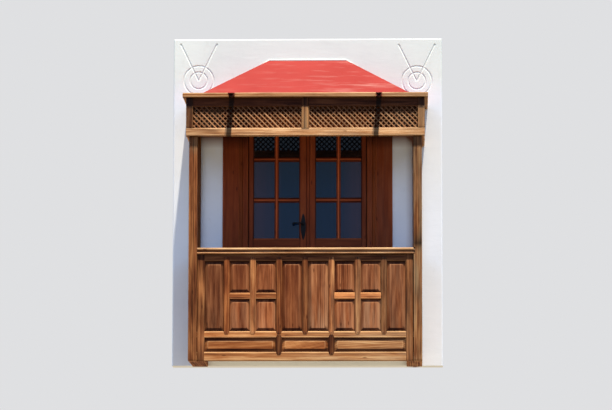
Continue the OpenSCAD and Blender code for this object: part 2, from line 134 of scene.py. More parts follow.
LEFT, RIGHT = -1, 1
HAND = {LEFT: "left", RIGHT: "right"}
UP = Vector((0, 0, 1))
RUN_X = Vector((1, 0, 0))
RUN_Y = Vector((0, 1, 0))


def shown(name, data):
    """A new object in the scene."""
    thing = bpy.data.objects.new(name, data)
    scene.collection.objects.link(thing)
    return thing


# Boards

def varied(value):
    """A number as a function of X and Z, unless it is one already."""
    return value if callable(value) else (lambda x, z: value)


class Board:
    """How one board was sawn from its log and how it has aged. Grey is silvered wood; tone, red
    and grey may be functions of X and Z. Kept is painted shade with some old dark stain: its share,
    or (height, softness, share) for painted shade above a height under an overhang."""

    def __init__(self, run, tone=0.0, red=0.0, grey=0.0, kept=0.0, spread=0.07):
        self.run = run
        self.shift = Vector((draws.uniform(0, 40), draws.uniform(-0.3, 0.3), draws.uniform(-0.3, 0.3)))
        self.tone, self.red, self.grey = varied(tone), varied(red), varied(grey)
        self.offset = draws.uniform(-spread, spread)
        self.kept = kept if isinstance(kept, tuple) else (EVERYWHERE, 0.01, kept)
        self.seed = draws.uniform(0, 100)

    def grain(self, point):
        """Distance along the board, across its face and into its depth."""
        if abs(self.run.y) > 0.5:
            across, deep = RUN_X, UP
        else:
            across, deep = Vector((-self.run.z, 0, self.run.x)), RUN_Y
        return Vector((point.dot(self.run), point.dot(across), point.dot(deep))) + self.shift


class Piece:
    """Closed solids gathered into one mesh, with each point's place in the wood and its look.
    A finish is a material and the slot that it fills."""

    def __init__(self, name, finish, place=None):
        self.name = name
        self.material, self.slot = finish
        self.place = place or (lambda x, y, z: (x, y, z))
        self.points, self.faces = [], []
        self.data = {"grain": [], "look": [], "age": [], "kept": []}

    def point(self, x, y, z, wear, board):
        world = Vector(self.place(x, y, z))
        here = (world.x, world.z)
        bleach = BLEACH * world.x
        self.points.append(tuple(world))
        self.data["grain"].extend(board.grain(Vector((x, y, z))))
        self.data["look"] += (board.tone(*here) + board.offset, max(0, wear), max(0, -wear))
        self.data["age"] += (board.red(*here) - bleach, board.grey(*here) + SILVERING * bleach, 0)
        self.data["kept"] += board.kept

    def loft(self, rings, board):
        """Joins rings of (x, y, z, wear) points into one closed solid. Wear is 1 on a rubbed
        edge, where it also paints a highlight, 0 on a plain face and -1 where it paints shade, with some
        grime."""
        start, count = len(self.points), len(rings[0])
        for ring in rings:
            for x, y, z, wear in ring:
                self.point(x, y, z, wear, board)
        for base in range(start, len(self.points) - count, count):
            for i in range(count):
                after = (i + 1) % count
                self.faces.append((base + i, base + after, base + count + after, base + count + i))
        for base in (start, len(self.points) - count):
            self.faces.append(tuple(range(base, base + count)))

    def build(self, *replaced):
        mesh = bpy.data.meshes.new(self.name)
        mesh.from_pydata(self.points, [], self.faces)
        for name, values in self.data.items():
            mesh.attributes.new(name, "FLOAT_VECTOR", "POINT").data.foreach_set("vector", values)
        solid = bmesh.new()
        solid.from_mesh(mesh)
        bmesh.ops.recalc_face_normals(solid, faces=solid.faces)
        solid.to_mesh(mesh)
        solid.free()
        mesh.shade_smooth()
        mesh.set_sharp_from_angle(angle=radians(38))
        mesh.materials.append(self.material)
        thing = shown(self.name, mesh)
        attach(thing, "root")
        if replaced:
            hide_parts(*replaced)


def spans(node):
    """Ranges of a node's box in X, Y and Z."""
    return list(zip(*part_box(node)))


def arc(start, end, steps):
    return [start + (end - start) * k / steps for k in range(steps + 1)]


def grown(ends, more):
    """A range, longer at both ends."""
    return (ends[0] - more, ends[1] + more)


def circle(radius, a, b, steps=16):
    turns = [2 * pi * i / steps for i in range(steps)]
    return [(a + radius * cos(turn), b + radius * sin(turn)) for turn in turns]


def rounded(corners, radius):
    """Outline of (a, b, wear) points with soft corners; wear is 1 on a corner and fades on the flats."""
    outline = []
    for i, corner in enumerate(corners):
        here = Vector(corner)
        sides = [Vector(corners[j % len(corners)]) - here for j in (i - 1, i + 1)]
        start, end = (here + side.normalized() * min(radius, 0.4 * side.length) for side in sides)
        far = [here + side.normalized() * min(radius + WORN_STRIP, 0.45 * side.length) for side in sides]
        curve = [(1 - t) ** 2 * start + 2 * t * (1 - t) * here + t ** 2 * end for t in (0, 0.5, 1)]
        outline += [(*far[0], 0), *[(*point, 1) for point in curve], (*far[1], 0)]
    return outline


def wander(t, seed, size=BOW):
    """Slow unevenness along a hand-planed board."""
    return size * noise.noise(Vector((t * 2.1 + seed, seed, 0)))


def tip_width(distance, length):
    """Share of the full width at a distance from a rounded end."""
    if length == 0 or distance >= length:
        return 1
    return BLUNT + (1 - BLUNT) * sqrt(1 - (1 - distance / length) ** 2)


def stations(span, tips=(0, 0)):
    """Places along a board where its section is drawn, closer together near shaped ends."""
    start, end = span
    places = {start, end, start + 2 * ARRIS, end - 2 * ARRIS}
    for tip, origin, way in ((tips[0], start, 1), (tips[1], end, -1)):
        if tip:
            places.update(origin + way * share * tip for share in (0.06, 0.2, 0.4, 0.7, 1))
    inner = (start + max(tips[0], 0.02), end - max(tips[1], 0.02))
    places.update(arc(*inner, max(1, round((inner[1] - inner[0]) / STEP))))
    return sorted(places)


def shrunk(point, centre, amount):
    """Moves a point of an end section inwards, so that the end's edge is rounded."""
    a, b, wear = point
    pull = [min(amount, abs(c - p)) * (1 if c > p else -1) for c, p in zip(centre, (a, b))]
    return (a + pull[0], b + pull[1], max(wear, 0.5))


def bar(piece, along, span, width, depth, board, cut=0.0, tips=(0, 0), arris=ARRIS, crack=0.0,
        notch=None, soiled=0.0, painted_edge_shade=0.0, rub=1.0):
    """A board that runs along x or z. width is its range across, depth runs from the front back.
    cut chamfers the two front edges, tips are the lengths of rounded ends, crack opens a split,
    notch is (start, end, amount) taken off the lower side. The last three paint light: the first
    darkens the lower edge with painted shade, the second darkens both sides with painted shade, and
    the third is how far the arrises are worn bare and painted bright as a highlight."""
    rings = []
    places = stations(span, tips)
    if notch:
        places = sorted({*places, notch[0] - 0.0005, notch[0], notch[1], notch[1] + 0.0005})
    for t in places:
        share = min(tip_width(t - span[0], tips[0]), tip_width(span[1] - t, tips[1]))
        middle = (width[0] + width[1]) / 2 + wander(t, board.seed)
        half = (width[1] - width[0]) / 2 * share + wander(t, board.seed + 7, BOW / 2)
        front = depth[0] + abs(wander(t, board.seed + 3))
        w = [middle - half, middle + half]
        if notch and notch[0] <= t <= notch[1]:
            w[0] += notch[2]
        corners = [(w[0], depth[1]), (w[0], front), (w[1], front), (w[1], depth[1])]
        if cut:
            corners[1:3] = [(w[0], front + cut), (w[0] + cut * share, front),
                            (w[1] - cut * share, front), (w[1], front + cut)]
        if crack:
            gap = crack * (0.5 + 0.8 * abs(noise.noise(Vector((t * 6, board.seed, 1)))))
            line = middle + 0.006 * noise.noise(Vector((t * 1.5, board.seed, 2)))
            corners[3:3] = [(line - gap, front), (line, front + 3 * gap), (line + gap, front)]
        outline = []
        for a, b, wear in rounded(corners, arris):
            # Worn arrises, which also paint a highlight along the edges.
            wear *= rub
            if crack and b > front + gap and abs(a - line) < gap:
                wear = -1
            # Painted shade along the lower edge.
            if soiled and a < w[0] + max(cut, 0.004):
                wear = -soiled
            # Painted shade along both sides.
            if painted_edge_shade and min(a - w[0], w[1] - a) < cut + 0.002:
                wear = -painted_edge_shade
            outline.append((a, b, wear))
        if t in span:
            centre = ((w[0] + w[1]) / 2, (depth[0] + depth[1]) / 2)
            outline = [shrunk(point, centre, arris) for point in outline]
        rings.append([(t, b, a, wear) if along == "x" else (a, b, t, wear) for a, b, wear in outline])
    piece.loft(rings, board)


def plate(piece, x, z, levels, board, rows=4):
    """Nested rectangles of (inset, y, wear), from the back to the front, closed by a face at each
    end. Wear may be four values: for the foot, the left side, the right side and the head."""
    loops = []
    for inset, y, wear in levels:
        foot, left_wear, right_wear, head = wear if isinstance(wear, tuple) else (wear,) * 4
        low, high = grown(z, -inset)
        margin = 0.2 * (high - low) / rows
        heights = [low, *arc(low + margin, high - margin, rows), high]
        loop = []
        for a, side_wear, way in ((x[1] - inset, right_wear, 1), (x[0] + inset, left_wear, -1)):
            wears = [foot, *[side_wear] * (rows + 1), head]
            loop += [(a, y, height, wear) for height, wear in zip(heights, wears)][::way]
        loops.append(loop)
    piece.loft(loops, board)


def raised_panel(piece, x, z, bevel, board, depths=PANEL_DEPTHS):
    """Panel with a raised field and four sloping margins."""
    field, low, back = depths
    soft = 0.0015
    slope = (low - field) / bevel
    # Painted light on the margins, with some grime: shade at the foot and the head, the left margins darker
    # than the right ones that face the sun, and a highlight on the field's arris at the head and, fainter, at
    # the sides.
    dirt_and_shade = (-1, -0.15, 0.1, -1)
    plate(piece, x, z, [
        (-TONGUE, back, 0), (-TONGUE, low, 0), (0, low, dirt_and_shade), (0.3 * bevel, low - 0.3 * bevel * slope, dirt_and_shade),
        (0.9 * bevel, low - 0.9 * bevel * slope, (-1, -0.2, 0.3, -0.9)),
        (bevel - soft, field + soft * slope, (-0.9, 0, 0.5, 0.8)), (bevel + soft, field, (-0.1, 0.2, 0.4, 1)),
        (bevel + WORN_STRIP, field, 0),
    ], board)


def raised_long_panel(piece, x, z, board):
    """Panel that lies down; painted shade darkens its head and foot margins, a painted highlight runs along
    the field's head, and its end margins are dark at their outer edges and lighter at the field.
    """
    field, low, back = PANEL_DEPTHS
    soft = 0.0015
    rings = []
    for inset, y, head, foot, ends in (
            (-TONGUE, back, 0, 0, 0), (-TONGUE, low, 0, 0, 0), (0, low, -0.9, -1, -0.4),
            (0.9 * PANEL_BEVEL, field + 0.1 * (low - field), -0.95, -1, 0),
            (PANEL_BEVEL - soft, field + 0.0008, -0.6, -0.8, 0.5), (PANEL_BEVEL + soft, field, 1, -0.1, 0.5),
            (PANEL_BEVEL + WORN_STRIP, field, 0, 0, 0)):
        (left, right), (deep, high) = grown(x, -inset), grown(z, -inset)
        across = arc(left, right, 5)
        upper, lower = (2 * high + deep) / 3, (high + 2 * deep) / 3
        rings.append([(a, y, high, head) for a in across] + [(right, y, b, ends) for b in (upper, lower)]
                     + [(a, y, deep, foot) for a in across[::-1]]
                     + [(left, y, b, ends) for b in (lower, upper)])
    piece.loft(rings, board)


def convex_inset(polygon, amount):
    """Moves every side of a convex outline inwards; it runs counterclockwise."""
    moved = []
    for i, corner in enumerate(polygon):
        here = Vector(corner)
        a = (here - Vector(polygon[i - 1])).normalized().orthogonal()
        b = (Vector(polygon[(i + 1) % len(polygon)]) - here).normalized().orthogonal()
        moved.append(here + (a + b) * amount / (1 + a.dot(b)))
    return moved


def clipped(polygon, x, z):
    """The part of a convex outline that lies in a rectangle."""
    for axis, limit, way in ((0, x[0], 1), (0, x[1], -1), (1, z[0], 1), (1, z[1], -1)):
        kept = []
        for i, point in enumerate(polygon):
            last = polygon[i - 1]
            inside, was_inside = way * (point[axis] - limit) >= 0, way * (last[axis] - limit) >= 0
            if inside != was_inside:
                t = (limit - last[axis]) / (point[axis] - last[axis])
                kept.append(tuple(last[k] + t * (point[k] - last[k]) for k in (0, 1)))
            if inside:
                kept.append(tuple(point))
        polygon = kept
    return polygon


def without_doubles(polygon):
    return [p for i, p in enumerate(polygon) if (Vector(p) - Vector(polygon[i - 1])).length > 0.003]


# Materials

class Nodes:
    """Short names for building a node tree."""

    def __init__(self, tree):
        self.tree = tree

    def put(self, socket, value):
        """Links or sets an input; a colour is given as three numbers."""
        if isinstance(value, bpy.types.NodeSocket):
            self.tree.links.new(value, socket)
        else:
            socket.default_value = (*value, 1) if socket.type == "RGBA" else value

    def node(self, kind, inputs=None, **settings):
        node = self.tree.nodes.new("ShaderNode" + kind)
        for name, value in settings.items():
            setattr(node, name, value)
        for name, value in (inputs or {}).items():
            self.put(node.inputs[name], value)
        return node

    def math(self, operation, a, b=0.0, clamp=False):
        return self.node("Math", {0: a, 1: b}, operation=operation, use_clamp=clamp).outputs[0]

    def add(self, a, b, clamp=False):
        return self.math("ADD", a, b, clamp)

    def times(self, a, b):
        return self.math("MULTIPLY", a, b)

    def total(self, *terms):
        """Sum of (value, weight) terms."""
        value = self.times(*terms[0])
        for term in terms[1:]:
            value = self.add(value, self.times(*term))
        return value

    def size(self, value):
        return self.math("ABSOLUTE", value)

    def scaled(self, vector, scale):
        return self.node("VectorMath", {0: vector, 1: scale}, operation="MULTIPLY").outputs[0]

    def brighter(self, colour, amount):
        return self.node("VectorMath", {0: colour, "Scale": amount}, operation="SCALE").outputs[0]

    def parts(self, vector):
        return self.node("SeparateXYZ", {0: vector}).outputs[:3]

    def noise(self, vector, scale, detail=3.0, roughness=0.55, distortion=0.0):
        """Noise of one scale, or drawn out by three."""
        if isinstance(scale, tuple):
            vector, scale = self.scaled(vector, scale), 1.0
        inputs = {"Vector": vector, "Scale": scale, "Detail": detail, "Roughness": roughness,
                  "Distortion": distortion}
        return self.node("TexNoise", inputs).outputs["Fac"]

    def range(self, value, low, high, to_low=0.0, to_high=1.0):
        inputs = {"Value": value, "From Min": low, "From Max": high, "To Min": to_low, "To Max": to_high}
        return self.node("MapRange", inputs, clamp=True).outputs["Result"]

    def ramp(self, value, *stops):
        node = self.node("ValToRGB", {"Fac": value})
        elements = node.color_ramp.elements
        while len(elements) < len(stops):
            elements.new(0.5)
        for element, (place, colour) in zip(elements, stops):
            element.position = place
            element.color = (*colour, 1)
        return node.outputs["Color"]

    def mix(self, amount, a, b, blend="MIX"):
        inputs = {"Factor": amount, 6: a, 7: b}  # 6 and 7 are the two colours
        return self.node("Mix", inputs, data_type="RGBA", blend_type=blend).outputs[2]

    def tint(self, amount, colour, tint):
        return self.mix(amount, colour, tint, "MULTIPLY")


class Surface(Nodes):
    """A material and its one shader."""

    def __init__(self, name):
        self.material = bpy.data.materials.new(name)
        self.material.use_nodes = True
        super().__init__(self.material.node_tree)
        self.place = self.node("TexCoord").outputs["Object"]

    def attribute(self, name):
        return self.node("Attribute", attribute_name=name).outputs["Vector"]

    def finish(self, colour, roughness, bump=None, more=()):
        """Sets the shader; bump is height, strength and distance, more is a dict of other inputs."""
        inputs = {"Base Color": colour, "Roughness": roughness, **dict(more)}
        if bump:
            relief = dict(zip(("Height", "Strength", "Distance"), bump))
            inputs["Normal"] = self.node("Bump", relief).outputs["Normal"]
        for name, value in inputs.items():
            self.put(self.tree.nodes["Principled BSDF"].inputs[name], value)
        return self.material


def spout_shadow_marks(g):
    """Painted shadows of the two spouts on the beam and the frieze below them, slanting to the left lower
    down as the sun's shadows do.
    """
    x, y, z = g.parts(g.place)
    drift = g.range(z, 2.02, 2.40, SPOUT_SHADOW_DRIFT, 0.0)
    aside = g.size(g.add(g.size(g.add(x, drift)), -SPOUT_X))
    streak = g.times(g.range(aside, 0.020, 0.030, 0.9, 0.0), g.range(y, -0.9, -0.95))
    return g.times(streak, g.times(g.range(z, 1.99, 2.02), g.range(z, 2.405, 2.400)))


def wood(name, slot, dark, mid, light, worn, rough=(0.55, 0.8), contrast=1.0, stain=0.5):
    """Sawn softwood: streaks, growth rings, fibres and knots run along each board's own grain."""
    g = Surface(name)
    grain = g.attribute("grain")
    tone, rub, dirt_and_shade = g.parts(g.attribute("look"))
    red, grey, _ = g.parts(g.attribute("age"))
    level, softness, most = g.parts(g.attribute("kept"))

    streak = g.noise(grain, (2.6, 42, 42), 5, 0.62)
    broad = g.noise(grain, (2.2, 11, 11), 3, 0.5)
    fibre = g.noise(grain, (7, 420, 420), 2)
    rings = {"Vector": g.scaled(grain, (0.05, 1, 1)), "Scale": 26.0, "Distortion": 3.0, "Detail Scale": 0.6}
    ring = g.node("TexWave", rings, wave_type="RINGS", rings_direction="X").outputs["Fac"]
    knots = {"Vector": g.scaled(grain, (1.6, 5.5, 0)), "Scale": 1.0}
    knot = g.range(g.node("TexVoronoi", knots, voronoi_dimensions="2D").outputs["Distance"], 0.045, 0.02)
    value = g.total((streak, 0.48), (broad, 0.3), (ring, 0.12), (fibre, 0.1))
    value = g.add(g.times(g.add(value, -0.5), 3.6 * contrast), 0.5, clamp=True)
    colour = g.ramp(value, (0.1, dark), (0.5, mid), (0.94, light))
    colour = g.tint(g.range(red, 0, 1), colour, (1.05, 0.80, 0.62))
    colour = g.brighter(colour, g.add(tone, 1.0))

    patches = g.range(g.noise(grain, (2.0, 16, 16), 4), 0.38, 0.62)
    silver = g.brighter(worn, g.add(tone, g.range(value, 0, 1, 0.6, 1.25)))
    colour = g.mix(g.times(g.range(grey, 0, 1), patches), colour, silver)
    # Worn edges go pale; this also paints highlights on edges and faces that catch the light.
    colour = g.mix(g.times(rub, g.range(streak, 0.3, 0.65, 0.25, 0.9)), colour, light)
    stains = g.range(g.noise(grain, (2.6, 11, 11), 5, distortion=0.6), 0.55, 0.72, 0, stain)
    colour = g.tint(stains, colour, (0.30, 0.23, 0.19))
    colour = g.tint(g.times(knot, 0.7), colour, (0.25, 0.16, 0.1))
    # Where wear is below zero: painted shade in creases, margins and along edges, with some grime.
    colour = g.tint(g.times(dirt_and_shade, g.range(broad, 0.3, 0.6, 1.0, 0.85)), colour, (0.10, 0.052, 0.042))
    # The kept share above a height: painted shade under the overhangs, with some old stain.
    ragged = g.add(g.parts(g.place)[2], g.range(g.noise(g.place, 30), 0.3, 0.7, -0.008, 0.008))
    kept = g.range(ragged, g.math("SUBTRACT", level, softness), g.add(level, softness), 0, most)
    colour = g.tint(kept, colour, (0.10, 0.056, 0.042))
    # Painted shadows of the two spouts.
    colour = g.tint(spout_shadow_marks(g), colour, (0.12, 0.13, 0.14))
    height = g.total((fibre, 0.35), (streak, 0.65), (knot, -0.4))
    roughness = g.range(value, 0, 1, rough[1], rough[0])
    return g.finish(colour, roughness, (height, 0.6, 0.0014), {"Specular IOR Level": 0.1}), slot


def plaster():
    """Smooth white painted render with bare mortar on the wall's back; painted shade darkens it under the
    ceiling, behind the lattice and beside the right wall post, and it is darker and yellower above the roof
    to offset the light that falls there.
    """
    g = Surface("white_plaster")
    x, _, z = g.parts(g.place)
    clouds = g.noise(g.place, 1.6, 5, 0.6)
    white = g.ramp(clouds, (0.3, (0.77, 0.775, 0.77)), (0.55, (0.825, 0.83, 0.82)),
                   (0.8, (0.86, 0.86, 0.845)))
    scuffs = g.range(g.noise(g.place, (9, 9, 3), 6, 0.65), 0.6, 0.78, 0, 0.35)
    white = g.mix(scuffs, white, (0.62, 0.60, 0.56))
    post_x = spans("wall_post_right")[0][0]
    # Painted shade in the corner beside the right wall post.
    corner = g.add(g.range(x, post_x - 0.09, post_x, 0, 0.5),
                   g.range(x, post_x - 0.022, post_x - 0.016, 0, 0.4))
    # Painted shade under the ceiling inside the balcony, joined with the corner's.
    under = g.add(g.range(z, 2.01, 2.13, 0, 0.96), corner, clamp=True)
    inside = g.times(g.range(g.size(x), 1.14, 1.10), g.range(z, 2.42, 2.41))
    white = g.tint(g.times(under, inside), white, (0.24, 0.085, 0.05))
    # Painted shade on the wall above the door, behind the lattice.
    white = g.tint(g.times(g.range(z, 2.12, 2.16), inside), white, (0.3, 0.35, 0.45))
    # Darker and yellower above the roof, offsetting the light that falls there.
    white = g.tint(g.range(z, 2.55, 2.75), white, (0.94, 0.97, 0.88))
    mortar = g.ramp(g.noise(g.place, 7, 6, 0.7), (0.35, (0.27, 0.25, 0.23)), (0.7, (0.42, 0.40, 0.37)))
    normal = g.node("NewGeometry").outputs["True Normal"]
    facing = g.node("VectorMath", {0: normal, 1: (0, 1, 0)}, operation="DOT_PRODUCT").outputs["Value"]
    trowel = g.noise(g.place, (5, 5, 16), 4, 0.6, 0.4)
    height = g.total((trowel, 0.75), (g.noise(g.place, 260, 2), 0.12))
    return g.finish(g.mix(g.range(facing, 0.7, 0.9), white, mortar), 0.85, (height, 0.35, 0.006))


def roof_paint():
    """Matt red paint on render, brushed on in level strokes and worn pale in places."""
    g = Surface("red_roof")
    strokes = g.noise(g.place, (2.2, 9, 22), 5, 0.6)
    colour = g.ramp(g.noise(g.place, 2.3, 4), (0.3, (0.315, 0.030, 0.021)), (0.7, (0.362, 0.040, 0.029)))
    right = g.range(g.parts(g.place)[0], -0.6, 0.9, 0.25, 1.2)
    colour = g.mix(g.times(g.range(strokes, 0.52, 0.70, 0, 0.8), right), colour, (0.44, 0.155, 0.12))
    height = g.total((strokes, 1.0), (g.noise(g.place, 140, 2), 0.2))
    return g.finish(colour, 0.85, (height, 0.4, 0.003), {"Specular IOR Level": 0.2})


def window_glass():
    """Window glass in front of a dark room: its deep blue is a painted reflection of the sky, browner where
    the curtains hang at the sides.
    """
    g = Surface("window_glass")
    x, _, z = g.parts(g.place)
    curtain = g.range(g.total((g.size(x), 1.0), (g.noise(g.place, (26, 1, 0.6)), 0.3)), 0.40, 0.68)
    colour = g.mix(curtain, (0.003, 0.017, 0.042), (0.055, 0.028, 0.042))
    # Nearly black above 1.92 m: a painted reflection of the shaded frieze and beam.
    colour = g.mix(g.range(z, 1.91, 1.92, 0, 0.9), colour, (0.002, 0.001, 0.001))
    return g.finish(colour, 0.035, (g.noise(g.place, 3.5, 1), 0.04, 0.01),
                    {"IOR": 2.2, "Specular Tint": (0.72, 0.85, 1.0)})


def forged_iron():
    g = Surface("forged_iron")
    hammer = g.noise(g.place, 90)
    colour = g.ramp(hammer, (0.3, (0.003, 0.003, 0.003)), (0.8, (0.012, 0.011, 0.010)))
    return g.finish(colour, g.range(hammer, 0.3, 0.8, 0.35, 0.6), (hammer, 0.5, 0.002),
                    {"Specular IOR Level": 0.15})


def clay_tiles():
    """Plain burnt-clay floor tiles, each a little different."""
    g = Surface("clay_tiles")
    specks = g.noise(g.place, 55, 5, 0.7)
    colour = g.ramp(specks, (0.3, (0.26, 0.105, 0.055)), (0.55, (0.37, 0.165, 0.09)),
                    (0.8, (0.47, 0.25, 0.15)))
    colour = g.brighter(colour, g.add(g.parts(g.attribute("look"))[0], 1.0))
    colour = g.mix(g.parts(g.attribute("age"))[1], colour, (0.36, 0.33, 0.30))
    return g.finish(colour, g.range(specks, 0.3, 0.8, 0.45, 0.7), (specks, 0.2, 0.0015))


BALCONY_WOOD = wood(
    "balcony_wood", "balcony_wood", (0.085, 0.021, 0.006), (0.28, 0.092, 0.028), (0.60, 0.283, 0.10),
    worn=(0.37, 0.232, 0.112))
PANEL_WOOD = wood(
    "panel_wood", "panel_wood", (0.085, 0.020, 0.006), (0.265, 0.082, 0.026), (0.50, 0.215, 0.085),
    worn=(0.42, 0.22, 0.11), contrast=0.88)
HONEY_WOOD = wood(
    "honey_wood", "bleached_wood", (0.20, 0.075, 0.024), (0.46, 0.21, 0.078), (0.76, 0.47, 0.23),
    worn=(0.46, 0.30, 0.16), stain=0.35)
LONG_WOOD = wood(
    "long_panel_wood", "bleached_wood", (0.15, 0.045, 0.012), (0.40, 0.155, 0.048), (0.72, 0.42, 0.18),
    worn=(0.46, 0.30, 0.16), contrast=0.8, stain=0.3)
SLAT_WOOD = wood(
    "slat_wood", "lattice_wood", (0.09, 0.024, 0.008), (0.35, 0.122, 0.044), (0.72, 0.385, 0.168),
    worn=(0.4, 0.26, 0.15), stain=0.4)
DOOR_WOOD = wood(
    "door_wood", "door_wood", (0.085, 0.014, 0.004), (0.19, 0.035, 0.008), (0.33, 0.076, 0.018),
    worn=(0.2, 0.1, 0.06), rough=(0.5, 0.65), contrast=0.4, stain=0.3)
SPOUT_WOOD = wood(
    "spout_wood", "spout_wood", (0.07, 0.016, 0.008), (0.18, 0.046, 0.022), (0.30, 0.09, 0.05),
    worn=(0.2, 0.08, 0.05))
PLASTER = (plaster(), "plaster")
IRON = (forged_iron(), "forged_iron")
TILES = (clay_tiles(), "floor_tile")

# Wall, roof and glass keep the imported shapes
for material, *names in (
        (PLASTER[0], "wall_left", "wall_right", "wall_over_door", "wall_under_door", "floor_slab"),
        (roof_paint(), "roof"), (window_glass(), "door_glass")):
    for name in names:
        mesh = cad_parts[name].data
        mesh.materials.clear()
        mesh.materials.append(material)


# Roof's edge on the wall

def roof_fillet():
    """Thin white bead of mortar where the roof meets the wall."""
    (_, half_w), _, (low, high) = spans("roof")
    wall_face = spans("wall_left")[1][0]
    piece = Piece("roof_fillet", PLASTER)
    board = Board(RUN_X, spread=0)
    path = [Vector(p) for p in ((-half_w, low), (-RIDGE_HALF, high), (RIDGE_HALF, high), (half_w, low))]
    for start, end in zip(path, path[1:]):
        out = (end - start).normalized().orthogonal() * BEAD
        rings = []
        for t in arc(0, 1, 4):
            centre = start.lerp(end, t)
            ring = [(centre + out * cos(turn), BEAD * sin(turn)) for turn in arc(0, pi, 8)]
            rings.append([(lift.x, wall_face - rise * 1.3, lift.y, 0) for lift, rise in ring])
        piece.loft(rings, board)
    piece.build()


# Door

opening_x, frame_y, opening_z = spans("door_frame")
leaf_x, (leaf_face, leaf_back), leaf_z = spans("door_leaf_left")
leaf_outer = -leaf_x[0]
thick = (0, leaf_back - leaf_face)


def door_frame():
    piece = Piece("door_frame_boards", DOOR_WOOD)
    inner = grown((-leaf_outer, leaf_outer), RAIL_LAP)
    inside = grown(frame_y, -SHY)
    for side in HAND:
        jamb = sorted((side * opening_x[1], side * (leaf_outer + SHY)))
        # SHADED paints shade under the ceiling on the jambs.
        bar(piece, "z", opening_z, jamb, frame_y, Board(UP, 0.05, kept=SHADED), cut=MOULDING)
        stop = sorted((side * (leaf_outer + RAIL_LAP), side * (leaf_outer - DOOR_STOP_W)))
        bar(piece, "z", grown(leaf_z, RAIL_LAP), stop, (leaf_back + 0.0005, inside[1]), Board(UP))
    # SHADED paints shade under the ceiling on the head.
    bar(piece, "x", inner, (leaf_z[1], opening_z[1] - SHY), inside, Board(RUN_X, kept=SHADED), cut=MOULDING)
    bar(piece, "x", inner, (leaf_z[1] - DOOR_STOP_W, leaf_z[1] + RAIL_LAP), (leaf_back + SHY, inside[1]),
        Board(RUN_X))
    bar(piece, "x", inner, (opening_z[0] + SHY, leaf_z[0]), inside, Board(RUN_X, 0.05), cut=0.012)
    piece.build("door_frame")


def door_leaf(side):
    name = "door_leaf_" + HAND[side]
    piece = Piece(name + "_boards", DOOR_WOOD, lambda x, y, z: (side * x, leaf_face + y, z))
    inner, outer = LEAF_GAP + MEETING_STILE, leaf_outer - LEAF_STILE
    between = grown((inner, outer), RAIL_LAP)
    rows = list(accumulate(GLASS_ROWS))
    lock_rail = (rows[0] - DOOR_RAIL_H, rows[0])
    foot_rail = (leaf_z[0], leaf_z[0] + DOOR_RAIL_H)
    # The stiles' darkened sides paint shade along their edges.
    for x, tone in (((LEAF_GAP, inner), 0.35), ((outer, leaf_outer), -0.08)):
        bar(piece, "z", leaf_z, x, thick, Board(UP, tone), cut=MOULDING, painted_edge_shade=0.8)
    for z in (foot_rail, lock_rail, (rows[5], leaf_z[1])):
        bar(piece, "x", between, grown(z, -0.0005), grown(thick, -0.0008), Board(RUN_X, -0.12), cut=MOULDING)
    middle, bars = (inner + outer) / 2, grown(thick, -0.006)
    # The glazing bars' high tones paint the light that they catch, and their darkened sides paint shade along
    # the panes.
    bar(piece, "z", grown((rows[0], rows[5]), 0.003), grown((middle, middle), BAR_W / 2), bars,
        Board(UP, 2.0), cut=0.010, painted_edge_shade=0.8)
    for z in (rows[1:3], rows[3:5]):
        bar(piece, "x", between, z, grown(bars, -SHY), Board(RUN_X, 0.95), cut=0.014, painted_edge_shade=0.9)
    raised_panel(piece, (inner, outer), (foot_rail[1], lock_rail[0]), 0.045, Board(UP, 0.05),
                 (0.004, 0.014, thick[1] - 0.008))
    if side == RIGHT:
        # Its darkened sides paint shade.
        bar(piece, "z", leaf_z, COVER_STRIP, (-0.009, -0.0005), Board(UP, 0.3, 0.1), cut=SOFT_CUT, painted_edge_shade=0.6)
    piece.build(name)


def side_board(side):
    """Flat plank with three reeds along its edge towards the door."""
    name = "side_board_" + HAND[side]
    piece = Piece(name + "_planks", DOOR_WOOD)
    x, y, z = spans(name)
    split = x[1] - REEDED_W if side == LEFT else x[0] + REEDED_W
    plank, strip = ((x[0], split), (split, x[1]))[::-side]
    # SHADED paints shade under the ceiling on the plank and the reeds.
    bar(piece, "z", z, plank, (y[0] + PLAIN_CUT, y[1]), Board(UP, 0.15, kept=SHADED), cut=PLAIN_CUT)
    edges = arc(*strip, 3)
    for reed in zip(edges, edges[1:]):
        bar(piece, "z", z, reed, y, Board(UP, -0.2, kept=SHADED), cut=0.0035)
    piece.build(name)


def dome(x, z, radius, face, rise, steps=14):
    """A low domed disc on a face that looks towards -Y."""
    return [[(a, face - rise * height, b, 0) for a, b in circle(radius * share, x, z, steps)]
            for share, height in ((1, 0), (1, 0.35), (0.8, 0.75), (0.45, 0.95), (0.12, 1))]


